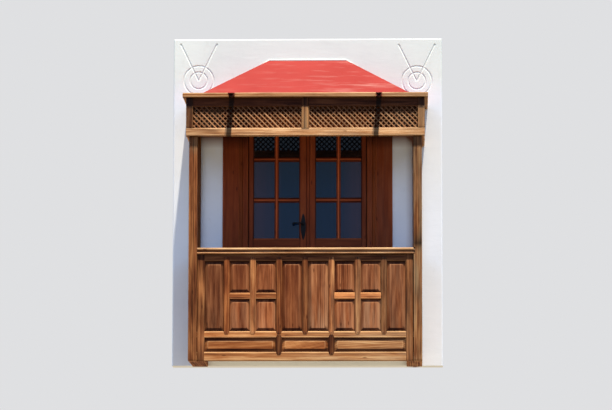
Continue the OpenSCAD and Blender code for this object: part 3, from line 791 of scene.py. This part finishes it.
def door_handle():
    """Forged plate with pointed ends and a lever that ends in a drop."""
    piece = Piece("door_handle_forged", IRON)
    board = Board(UP, spread=0)
    x = -(LEAF_GAP + MEETING_STILE / 2)
    low, high = HANDLE_Z
    section = ((-1, 0), (-1, 0.35), (-0.6, 0.85), (0, 1), (0.6, 0.85), (1, 0.35), (1, 0))
    half_w, rise = 0.026, 0.0045
    rings = []
    for t in arc(0, 1, 18):
        w = max(0.0015, half_w * sin(pi * t) ** 0.62)
        rings.append([(x + w * a, leaf_face - rise * b, low + (high - low) * t, 0) for a, b in section])
    piece.loft(rings, board)
    plate_face = leaf_face - 0.0035
    for z in grown(HANDLE_Z, -0.028):
        piece.loft(dome(x, z, 0.0055, plate_face, 0.0025), board)
    lever_y = leaf_face - LEVER_OUT
    neck = ((leaf_face - 0.003, 0.016), (leaf_face - 0.008, 0.015), (leaf_face - 0.012, 0.010),
            (lever_y - 0.002, 0.009), (lever_y - 0.008, 0.006))
    piece.loft([[(a, y, b, 0) for a, b in circle(radius, x, LEVER_Z)] for y, radius in neck], board)
    lever = []
    for share, radius in (
            (-0.06, 0.004), (0, 0.0085), (0.1, 0.0075), (0.3, 0.006), (0.55, 0.006), (0.75, 0.0075),
            (0.86, 0.011), (0.93, 0.0135), (1.0, 0.012), (1.05, 0.006)):
        drop = 0.006 * sin(pi * share) - 0.004 * share
        lever.append([(x - LEVER_REACH * share, a, b, 0) for a, b in circle(radius, lever_y, LEVER_Z + drop)])
    piece.loft(lever, board)
    piece.loft(dome(x, KEYHOLE_Z, 0.008, plate_face, 0.003), board)
    piece.build("door_handle")


roof_fillet()
door_frame()
for side in HAND:
    door_leaf(side)
    side_board(side)
door_handle()


# Posts, bearers and floor

def front_place(face):
    """Front pieces are drawn with y = 0 on their face."""
    return lambda x, y, z: (x, face + y, z)


def laid_out(node):
    """How a node is drawn: its place, its range along its length, upwards and inwards from its face.
    Side pieces are drawn like front ones: x runs along the side, y = 0 is the outer face."""
    x, y, z = spans(node)
    if x[1] - x[0] > y[1] - y[0]:
        return front_place(y[0]), x, z, (0, y[1] - y[0])
    side, face = (LEFT if x[0] < 0 else RIGHT), max(abs(x[0]), abs(x[1]))
    return lambda x, y, z: (side * (face - y), x, z), y, z, (0, x[1] - x[0])


def timber(name, finish, along, layout, board, **shape):
    """A node that is a single board. Layout is its place, then its length, width and depth."""
    piece = Piece(name + "_timber", finish, layout[0])
    bar(piece, along, *layout[1:], board, **shape)
    piece.build(name)


def greyed(low, high, level, spread):
    """Weathering that fades in between two values round a height."""
    return lambda x, z: low + (high - low) / (1 + exp((z - level) / spread))


def right_post_tone(x, z):
    """Dark where water stands beside the end of the handrail."""
    return -0.34 + 0.04 / (1 + exp((z - 0.9) / 0.1)) - 0.66 * exp(-((z - 0.96) / 0.075) ** 2)


def post(name, crack, board, notch=None):
    x, y, z = spans(name)
    timber(name, BALCONY_WOOD, "z", (None, z, x, y), board, cut=MOULDING, arris=BROAD_ARRIS, crack=crack,
           notch=notch, rub=0.12)


def wall_post(side):
    """Half post on the wall; beside the beam its inner part runs on up to the ceiling."""
    name = "wall_post_" + HAND[side]
    piece = Piece(name + "_timber", BALCONY_WOOD)
    x, y, z = spans(name)
    beam_z = spans("beam_front")[2][0]
    # Painted shade: low tones and a kept share darken the half posts, the right one most.
    board = Board(UP, -0.2 if side == LEFT else -0.6, 0.5, kept=0.7)
    upper = sorted((side * min(abs(x[0]), abs(x[1])), side * spans("beam_right")[0][0]))
    for ends, width in (((z[0], beam_z), x), ((beam_z, z[1]), upper)):
        bar(piece, "z", ends, width, y, board, cut=MOULDING, arris=BROAD_ARRIS)
    piece.build(name)


def floor_tiles():
    piece = Piece("floor_tiles", TILES, lambda x, y, z: (x, z, -y))
    x, y, z = spans("floor_finish")
    plate(piece, x, y, [(0, -z[0], 0), (0, 0.002, 0)], Board(RUN_X, -0.1, grey=0.9, spread=0), 2)
    columns, rows = (arc(*edges, round((edges[1] - edges[0]) / TILE)) for edges in (x, y))
    for column in zip(columns, columns[1:]):
        for row in zip(rows, rows[1:]):
            plate(piece, grown(column, -TILE_JOINT), grown(row, -TILE_JOINT),
                  [(0, 0.004, 0), (0, 0.0015, 0), (0.0015, 0, 0)], Board(RUN_X, spread=0.12), 1)
    piece.build("floor_finish")


# The kept share above the beam paints the beam's shadow further down the posts' tops.
post("post_left", 0.0018,
     Board(UP, greyed(-0.3, -0.43, 1.0, 0.3), 0.3, greyed(1.0, 0.2, 1.88, 0.02), (1.902, 0.010, 0.6)))
post("post_right", 0.0010, Board(UP, right_post_tone, 0.0, greyed(0.5, 0.6, 1.0, 0.2), (1.907, 0.010, 0.7)),
     (*spans("handrail_front")[2], HANDRAIL_LAP))
for side in HAND:
    wall_post(side)
for name, tone in (("bearer_left", -0.46), ("bearer_right", -0.15)):
    timber(name, BALCONY_WOOD, "x", laid_out(name), Board(RUN_X, tone, 0.5), cut=PLAIN_CUT, arris=BROAD_ARRIS)
floor_tiles()


# Parapets, drawn with y = 0 on the stiles' faces

(_, post_inner), (stile_face, _), (parapet_z, handrail_z) = spans("parapet_frame")
top_rail_z = handrail_z - TOP_RAIL_H
bottom_rail_top = parapet_z + BOTTOM_RAIL_H
stile_z = (MID_RAIL[1] - STILE_LAP, top_rail_z + STILE_TOP_LAP)

# How each panel column has aged, from left to right: tone, redness and greyness low down
COLUMN_LOOKS = ((-0.4, 0.1, 0.3), (-0.3, 0.5, 0.4), (-0.02, 0.4, 0.4), (-0.38, 0.9, 0.1),
                (0.06, 0.2, 0.7), (-0.2, 0.8, 0.5), (-0.17, 0.6, 0.55), (-0.24, 0.6, 0.2))
# How much lighter the lower panel is where a column is split
LOWER_LIFT = 0.19
# The long panels below: tone, redness and slant of the grain
LONG_PANEL_LOOKS = ((-0.24, 1.0, 0.03), (-0.05, 0.9, 0.2), (0.0, 0.2, -0.04))


def pale_streaks(x, z):
    """Tone of the stile beside the left post, where rain has washed two lengths pale."""
    return -0.48 + 0.42 * (exp(-((z - 0.49) / 0.1) ** 2) + exp(-((z + 0.02) / 0.12) ** 2))


# Tone, redness and greyness of each stile; the last one's low tone also paints the shade beside the right
# post
STILE_LOOKS = ((pale_streaks, 0.1, 0.3), (-0.16, 0.7, 0.1), (0.27, 0.1, 0.4), (-0.33, 0.9, 0.0),
               (-0.43, 0.8, 0.1), (0.35, 0.3, 0.35), (0.04, 0.3, 0.35), (-0.2, 0.3, 0.2), (-0.32, 0.7, 0.1))


def stile_x(i):
    centre = (i - COLUMNS / 2) * STILE_PITCH
    if i == 0:
        return (-post_inner, -post_inner + END_STILE_W)
    if i == COLUMNS:
        return (post_inner - END_STILE_W, post_inner)
    return grown((centre, centre), STILE_W / 2)


def rail(piece, x, z, board):
    # Painted shade along the rail's lower edge.
    bar(piece, "x", x, z, (RAIL_SET_BACK, PARAPET_T), board, cut=EDGE_CUT, soiled=0.6)


def stile(piece, x, z, board, tips=(0, 0)):
    # Painted shade along the stile's sides.
    bar(piece, "z", z, x, (0, PARAPET_T - 0.0025), board, cut=EDGE_CUT, tips=tips, painted_edge_shade=0.35)


def front_parapet():
    place = front_place(stile_face)
    full = (-post_inner, post_inner)
    columns = [(stile_x(i)[1], stile_x(i + 1)[0]) for i in range(COLUMNS)]

    boards = Piece("parapet_boards", BALCONY_WOOD, place)
    # The top rail's kept share paints the handrail's shade on it.
    rail(boards, full, (top_rail_z, handrail_z), Board(RUN_X, -0.1, 0.3, kept=0.75))
    for i in SPLIT_COLUMNS:
        tone = 0.0 if i < COLUMNS / 2 else 0.72
        rail(boards, grown(columns[i], 0.003), CROSS_RAIL, Board(RUN_X, tone, 0.6))
    # The stiles' kept share above the top rail paints the handrail's shade on their tops.
    for i, (tone, red, grey) in enumerate(STILE_LOOKS):
        board = Board(UP, tone, red, greyed(0.05, grey, 0.3, 0.2), (top_rail_z + 0.015, 0.006, 0.7))
        if i in (0, COLUMNS):
            stile(boards, stile_x(i), (parapet_z, handrail_z), board)
        else:
            stile(boards, stile_x(i), stile_z, board, (STILE_TIP, 0))
    for i in LOW_STILES:
        stile(boards, stile_x(i), (bottom_rail_top - STILE_LAP, MID_RAIL[0] + STILE_LAP),
              Board(UP, lambda x, z: -0.33 + 0.25 * x, 0.6, 0.0, 0.5), (STILE_TIP, STILE_TIP))
    boards.build("parapet_frame")

    rails = Piece("parapet_rails", LONG_WOOD, place)
    rail(rails, full, (parapet_z, bottom_rail_top), Board(RUN_X, 0.02, 0.0, lambda x, z: 0.15 + 0.2 * x))
    rail(rails, full, MID_RAIL, Board(RUN_X, 0.12, lambda x, z: 0.15 - 0.4 * x, lambda x, z: 0.1 + 0.2 * x))
    rails.build()

    panels = Piece("parapet_fields", PANEL_WOOD, place)
    for i, (tone, red, grey) in enumerate(COLUMN_LOOKS):
        parts = [(MID_RAIL[1], top_rail_z, 0)]
        if i in SPLIT_COLUMNS:
            parts = [(MID_RAIL[1], CROSS_RAIL[0], LOWER_LIFT), (CROSS_RAIL[1], top_rail_z, 0)]
        for low, high, lift in parts:
            board = Board(UP, tone + lift, red, greyed(0.05, grey, 0.42, 0.06), spread=0.03)
            raised_panel(panels, columns[i], (low, high), PANEL_BEVEL, board)
    panels.build("parapet_panels")

    fields = Piece("parapet_long_fields", LONG_WOOD, place)
    ends = (0, *LOW_STILES, COLUMNS)
    for a, b, (tone, red, slant) in zip(ends, ends[1:], LONG_PANEL_LOOKS):
        raised_long_panel(fields, (stile_x(a)[1], stile_x(b)[0]), (bottom_rail_top, MID_RAIL[0]),
                          Board(Vector((1, 0, slant)).normalized(), tone, red))
    fields.build("parapet_long_panels")

    nails = Piece("parapet_nails", IRON, place)
    spots = []
    for i in range(1, COLUMNS):
        spots += [(i, 0.003 * (-1) ** i, MID_RAIL[1] - 0.019), (i, 0, stile_z[1] - 0.012)]
    for i in LOW_STILES:
        spots += [(i, 0, MID_RAIL[0] + 0.019), (i, 0.005, bottom_rail_top - 0.022)]
    for i, aside, z in spots:
        nails.loft(dome(sum(stile_x(i)) / 2 + aside, z, NAIL_R, 0.001, 0.002, 10), Board(RUN_X, spread=0))
    nails.build()


def side_parapet(name):
    place, y, z, _ = laid_out(name)
    boards = Piece(name + "_boards", BALCONY_WOOD, place)
    panels = Piece(name + "_fields", PANEL_WOOD, place)
    middle = grown((sum(y) / 2, sum(y) / 2), SIDE_STILE_W / 2)
    rail(boards, y, (z[0], MID_RAIL[1]), Board(RUN_X, 0.3, 0.4))
    # Kept shares paint the handrail's shade on the top rail and on the stiles' tops.
    rail(boards, y, (top_rail_z, handrail_z), Board(RUN_X, 0.0, 0.4, kept=0.5))
    kept = (top_rail_z + 0.015, 0.006, 0.5)
    inner = grown(y, -SIDE_STILE_W)
    for x in ((y[0], inner[0]), (inner[1], y[1])):
        stile(boards, x, (z[0], handrail_z), Board(UP, 0.0, 0.3, 0.2, kept))
    stile(boards, middle, stile_z, Board(UP, 0.0, 0.3, 0.15, kept), (STILE_TIP, 0))
    for x in ((inner[0], middle[0]), (middle[1], inner[1])):
        raised_panel(panels, x, (MID_RAIL[1], top_rail_z), PANEL_BEVEL,
                     Board(UP, 0.0, 0.4, greyed(0.05, 0.4, 0.42, 0.06)))
    boards.build(name)
    panels.build()


def handrail_outline(depth, z):
    """Two round noses with a groove between them on each face, as (y, z, wear) points: painted shade darkens
    the lower noses, the groove and the upper noses' undersides, and a painted highlight lies on the rest of
    the upper noses.
    """
    half, middle = (depth[1] - depth[0]) / 2, sum(depth) / 2
    low, high = z
    upper, lower, neck = 0.011, 0.010, 0.013
    turns = arc(-pi / 2, pi / 2, 8)
    right = [(half - lower - 0.002 + lower * cos(turn), low + lower + lower * sin(turn),
              -0.9 if k < 3 else -0.45) for k, turn in enumerate(turns)]
    right += [(half - neck - 0.001, b, -0.95) for b in (low + 2 * lower + 0.002, high - 2 * upper - 0.002)]
    right += [(half - upper + upper * cos(turn), high - upper + upper * sin(turn),
               -0.6 if k < 2 else 1) for k, turn in enumerate(turns)]
    right += [(half - 0.022, high, 0), (0.012, high, 0)]
    return [(middle + a, b, wear) for a, b, wear in right + [(-a, b, wear) for a, b, wear in right[::-1]]]


def handrail(name, board, end_r=0.0):
    """Moulded rail; end_r rounds its far end down."""
    place, x, z, depth = laid_out(name)
    piece = Piece(name + "_moulded", HONEY_WOOD, place)
    outline = handrail_outline(depth, z)
    rings = []
    for t in stations(x, (0, end_r)):
        into_end = max(0, t - x[1] + end_r)
        drop = end_r - sqrt(max(0, end_r ** 2 - into_end ** 2))
        squash = 1 - drop / (z[1] - z[0])
        lift = wander(t, board.seed) * 0.6
        ring = [(a, z[0] + (b - z[0]) * squash + lift, wear) for a, b, wear in outline]
        if t in x:
            ring = [shrunk(point, (sum(depth) / 2, sum(z) / 2), ARRIS) for point in ring]
        rings.append([(t, a, b, wear) for a, b, wear in ring])
    piece.loft(rings, board)
    piece.build(name)


front_parapet()
handrail("handrail_front", Board(RUN_X, 0.19, 0.0, 0.2), HANDRAIL_END_R)
for hand in HAND.values():
    side_parapet("side_parapet_" + hand)
    handrail("handrail_" + hand, Board(RUN_X, 0.1, 0.0, 0.1))


# Beams and frieze

beam_x, beam_y, beam_z = spans("beam_front")
frieze_top = spans("frieze_frame_front")[2][1]
(lattice_inner, lattice_outer), _, (_, lattice_top) = spans("lattice_front_right")


def beam_tone(x, z):
    """The front beam is darker at its ends, most of all on the left."""
    left, right = 1 / (1 + exp((x + 0.84) / 0.03)), 1 / (1 + exp((0.97 - x) / 0.03))
    return 0.35 - 0.5 * left - 0.25 * right


def frieze_front():
    """Rail and corner stiles, and a centre stile whose rounded foot hangs over the beam."""
    piece = Piece("frieze_boards_front", BALCONY_WOOD, front_place(beam_y[0]))
    z = (beam_z[1], frieze_top)
    # Kept shares paint the cornice's shade: all over the rail, and above the shadow line on the stiles.
    bar(piece, "x", grown(beam_x, -SHY), (lattice_top, z[1]),
        (FRIEZE_RAIL_BACK, FRIEZE_T - SHY), Board(RUN_X, -0.1, 0.3, kept=0.95), cut=PLAIN_CUT)
    kept = (z[1] - 0.092, 0.008, 0.97)
    for side, tone, red, grey in ((LEFT, -0.6, 0.0, 0.7), (RIGHT, -0.24, 0.1, 0.3)):
        bar(piece, "z", z, sorted((side * beam_x[1], side * lattice_outer)), (0, beam_y[1] - beam_y[0]),
            Board(UP, tone, red, grey, kept), cut=SOFT_CUT, rub=0.3)
    centre = Board(UP, -0.46, 0.0, 0.6, kept)
    half, front = lattice_inner, -CENTRE_STILE_PROUD
    bar(piece, "z", (z[0] - 0.004, z[1]), (-half, half), (front, FRIEZE_T), centre, cut=CENTRE_STILE_CUT,
        arris=0.004)
    foot = []
    for turn in arc(-pi, 0, 16):
        way = 1 if turn > -pi / 2 else -1
        foot.append((way * (half - CENTRE_STILE_LAP) + CENTRE_STILE_LAP * cos(turn),
                     z[0] + CENTRE_STILE_LAP * sin(turn)))
    foot += [(half, z[0] + 0.0005), (-half, z[0] + 0.0005)]
    piece.loft([[(a, depth, b, 0) for a, b in foot] for depth in (-0.0002, front + 0.0015)]
               + [[(a * 0.97, front + 0.0004, b + 0.0005, 0) for a, b in foot]], centre)
    piece.build("frieze_frame_front")


def frieze_side(hand):
    name = "frieze_frame_" + hand
    place, y, z, _ = laid_out(name)
    piece = Piece(name + "_boards", BALCONY_WOOD, place)
    # Kept shares paint the cornice's shade on the rail and the stile.
    bar(piece, "x", (y[0], y[1] - SHY), (lattice_top, z[1]), (FRIEZE_RAIL_BACK, FRIEZE_T - SHY),
        Board(RUN_X, 0.0, 0.3, kept=0.85), cut=PLAIN_CUT)
    bar(piece, "z", z, (spans("lattice_right")[1][1], y[1]), (0, FRIEZE_T),
        Board(UP, 0.0, 0.2, kept=0.4), cut=SOFT_CUT)
    piece.build(name)


def lattice(name):
    """Two layers of slats nailed across each other; the front layer falls to the right."""
    place, x, z, _ = laid_out(name)
    piece = Piece(name + "_slats", SLAT_WOOD, place)
    height = z[1] - z[0]
    count = ceil((x[1] - x[0] + height) / SLAT_PITCH)
    reach = height * 2 + SLAT_W
    for layer, (lean, shift, tone) in enumerate(((-1, FRONT_SLAT_SHIFT, -0.26), (1, 0, -0.52))):
        run = Vector((lean, 0, 1)).normalized()
        front = layer * (SLAT_T - 0.001)
        for i in range(-count, count + 1):
            shifted = draws.uniform(-0.001, 0.001) + shift
            centre = Vector((sum(x) / 2 + (i + 0.5) * SLAT_PITCH + shifted, sum(z) / 2))
            along = Vector((run.x, run.z)).normalized()
            tilt = radians(0.7) * noise.noise(Vector((i * 1.7, layer * 9.1, 0.5)))
            along.rotate(Matrix.Rotation(tilt, 2))
            across = Vector((along.y, -along.x))
            half = SLAT_W / 2 + draws.uniform(-0.0007, 0.0005)
            corners = [centre + along * reach / 2 * a + across * half * b
                       for a, b in ((-1, -1), (-1, 1), (1, 1), (1, -1))]
            outline = without_doubles(clipped([tuple(c) for c in corners], x, z))
            if len(outline) < 3:
                continue
            # The kept share paints the cornice's shade on the upper slats.
            board = Board(run, tone, draws.uniform(-0.2, 0.3) + 0.6 * layer, 0.1, (z[1] - 0.058, 0.006, 0.85),
                          spread=0.22)
            # Wear paints shade on the slats' backs and sides and a highlight on their fronts.
            levels = ((0, front + SLAT_T, -0.9), (0, front + 0.0015, -0.5), (0.0012, front, 0.4))
            piece.loft([[(p.x, y, p.y, wear) for p in convex_inset(outline, inset)]
                        for inset, y, wear in levels], board)
    piece.build(name)


# Painted shade along the beam's lower edge.
timber("beam_front", HONEY_WOOD, "x", (None, beam_x, beam_z, beam_y), Board(RUN_X, beam_tone, 0.0, 0.4),
       cut=PLAIN_CUT, arris=BROAD_ARRIS, soiled=0.5)
for hand in HAND.values():
    timber("beam_" + hand, HONEY_WOOD, "x", laid_out("beam_" + hand), Board(RUN_X, 0.0, 0.2), cut=PLAIN_CUT)
frieze_front()
for hand in HAND.values():
    frieze_side(hand)
for name in ("lattice_front_left", "lattice_front_right", "lattice_left", "lattice_right"):
    lattice(name)


# Cornice, ceiling and spouts

def cornice():
    x, y, z = spans("cornice")
    piece = Piece("cornice_boards", HONEY_WOOD)
    outer = spans("spouts")[0][1]
    inner = outer - SPOUT_W
    for run in ((x[0], -outer), (-inner, inner), (outer, x[1])):
        # Painted shade along the cornice's lower edge.
        bar(piece, "x", run, z, (y[0], y[0] + CORNICE_W), Board(RUN_X, -0.25, 0.7, 0.1), cut=SOFT_CUT,
            arris=BROAD_ARRIS, soiled=0.4)
    for side in HAND:
        piece.place = lambda a, b, c: (side * (x[1] - b), a, c)
        bar(piece, "x", (y[0] + CORNICE_W, y[1]), z, (0, CORNICE_W), Board(RUN_X, -0.05, 0.1, 0.25),
            cut=SOFT_CUT)
    piece.build("cornice")


def ceiling():
    """Narrow boards side by side with V joints, seen from inside the balcony."""
    x, y, z = spans("ceiling")
    edges = arc(*y, CEILING_BOARDS)
    piece = Piece("ceiling_planks", BALCONY_WOOD, lambda a, b, c: (a, c, b))
    for plank in zip(edges, edges[1:]):
        # The kept share paints the shade under the roof on the planks.
        bar(piece, "x", x, plank, z, Board(RUN_X, -0.3, 0.3, kept=0.85), cut=PLAIN_CUT)
    piece.build("ceiling")


def spouts():
    """Round-bottomed wooden channels with a lid, falling to the front."""
    foot = Vector((0, beam_y[0] + FRIEZE_RAIL_BACK, frieze_top))
    fall = Matrix.Rotation(radians(SPOUT_FALL), 3, "X")
    piece = Piece("spout_channels", SPOUT_WOOD, lambda x, y, z: foot + fall @ (Vector((x, y, z)) - foot))
    half = SPOUT_W / 2
    inner = half - SPOUT_SKIN
    low, high = foot.z, foot.z + SPOUT_H
    lip = high - SPOUT_SKIN
    ends = (spans("cornice")[1][0] - SPOUT_REACH, spans("ceiling")[1][0])
    bottoms = [[(radius * cos(a), low + half + radius * sin(a)) for a in arc(start, -pi - start, 16)]
               for radius, start in ((half, 0), (inner, -pi))]
    bore = [(-inner, lip), *bottoms[1], (inner, lip)]
    channel = [(half, lip), *bottoms[0], (-half, lip), *bore]
    lid = [(half, lip + 0.0004), (half, high), (-half, high), (-half, lip + 0.0004)]
    # A dark fill closes each bore 30 mm behind the mouth, painted as the shade inside it.
    shade_fill, shade_fill_ends = [(0.97 * a, 0.97 * (b - low) + low) for a, b in bore], (ends[0] + 0.03, ends[1] - 0.001)
    for side in HAND:
        for outline, reach, kept in ((channel, ends, 0.2), (lid, ends, 0.2), (shade_fill, shade_fill_ends, 0.8)):
            board = Board(RUN_Y, 0.0, 0.2, kept=kept)
            sagging = [(y, 0.001 * noise.noise(Vector((y * 9, side, 0)))) for y in stations(reach)]
            piece.loft([[(side * SPOUT_X + a + sag, y, b, 0) for a, b in outline] for y, sag in sagging],
                       board)
    piece.build("spouts")


cornice()
ceiling()
spouts()


# Floor, light and camera

# Light of the surroundings from straight below (0) to straight above (1)
SKY = ((0.0, (1.25, 1.05, 0.77)), (0.2, (1.0, 0.86, 0.62)), (0.375, (0.33, 0.29, 0.24)),
       (0.47, (0.14, 0.16, 0.18)), (0.545, (0.12, 0.155, 0.20)), (0.570, (0.09, 0.125, 0.175)),
       (0.5715, (0.10, 0.11, 0.12)), (0.5775, (0.12, 0.12, 0.13)), (0.585, (0.52, 0.72, 1.05)),
       (0.675, (0.94, 1.32, 2.18)), (0.76, (0.84, 1.18, 1.90)), (0.86, (0.24, 0.35, 0.62)),
       (1.0, (0.12, 0.17, 0.30)))


def studio_floor():
    z, front, behind, half = -1.2, -7.0, 9.0, 12.0
    mesh = bpy.data.meshes.new("studio_floor")
    mesh.from_pydata([(-half, front, z), (half, front, z), (half, behind, z), (-half, behind, z)], [],
                     [(0, 1, 2, 3)])
    g = Surface("studio_floor")
    colour = g.ramp(g.noise(g.place, 0.8), (0.3, (0.25, 0.25, 0.255)), (0.7, (0.27, 0.27, 0.27)))
    mesh.materials.append(g.finish(colour, 0.9))
    floor = shown("studio_floor", mesh)
    floor.visible_diffuse = False
    floor.visible_glossy = False


def surroundings():
    """Pale where the camera sees them, with a blue light from the front upon the balcony."""
    world = bpy.data.worlds.new("pale_surroundings")
    scene.world = world
    world.use_nodes = True
    g = Nodes(world.node_tree)
    height = g.parts(g.node("TexCoord").outputs["Generated"])[2]
    light = g.tree.nodes["Background"].outputs[0]
    g.put(g.tree.nodes["Background"].inputs["Color"], g.ramp(g.range(height, -1.0, 1.0), *SKY))
    seen = g.node("Background", {"Color": (0.74, 0.745, 0.76)}).outputs[0]
    direct = g.node("LightPath").outputs["Is Camera Ray"]
    mixed = g.node("MixShader", {"Fac": direct, 1: light, 2: seen}).outputs[0]
    g.put(g.tree.nodes["World Output"].inputs["Surface"], mixed)


def sun():
    key = bpy.data.lights.new("key", "SUN")
    key.energy = 6.3
    key.angle = radians(1.2)
    key.color = (1.0, 0.925, 0.79)
    lamp = shown("key", key)
    lamp.rotation_euler = Vector((-0.35, 1.0, -3.5)).to_track_quat("-Z", "Y").to_euler()
    lamp.location = (3, -8, 12)


def camera():
    """Stands where the photographer stood, 34.5 m in front of the posts and 3.2 m below the floor."""
    lens_data = bpy.data.cameras.new("camera")
    lens_data.sensor_width = 36.0
    lens_data.lens = 205.3
    lens_data.clip_end = 200.0
    thing = shown("camera", lens_data)
    thing.location = (1.060, -35.5, -3.163)
    thing.rotation_euler = (radians(90 + 7.405), radians(-0.091), radians(1.735))
    scene.camera = thing
    scene.view_settings.view_transform = "Standard"


studio_floor()
surroundings()
sun()
camera()
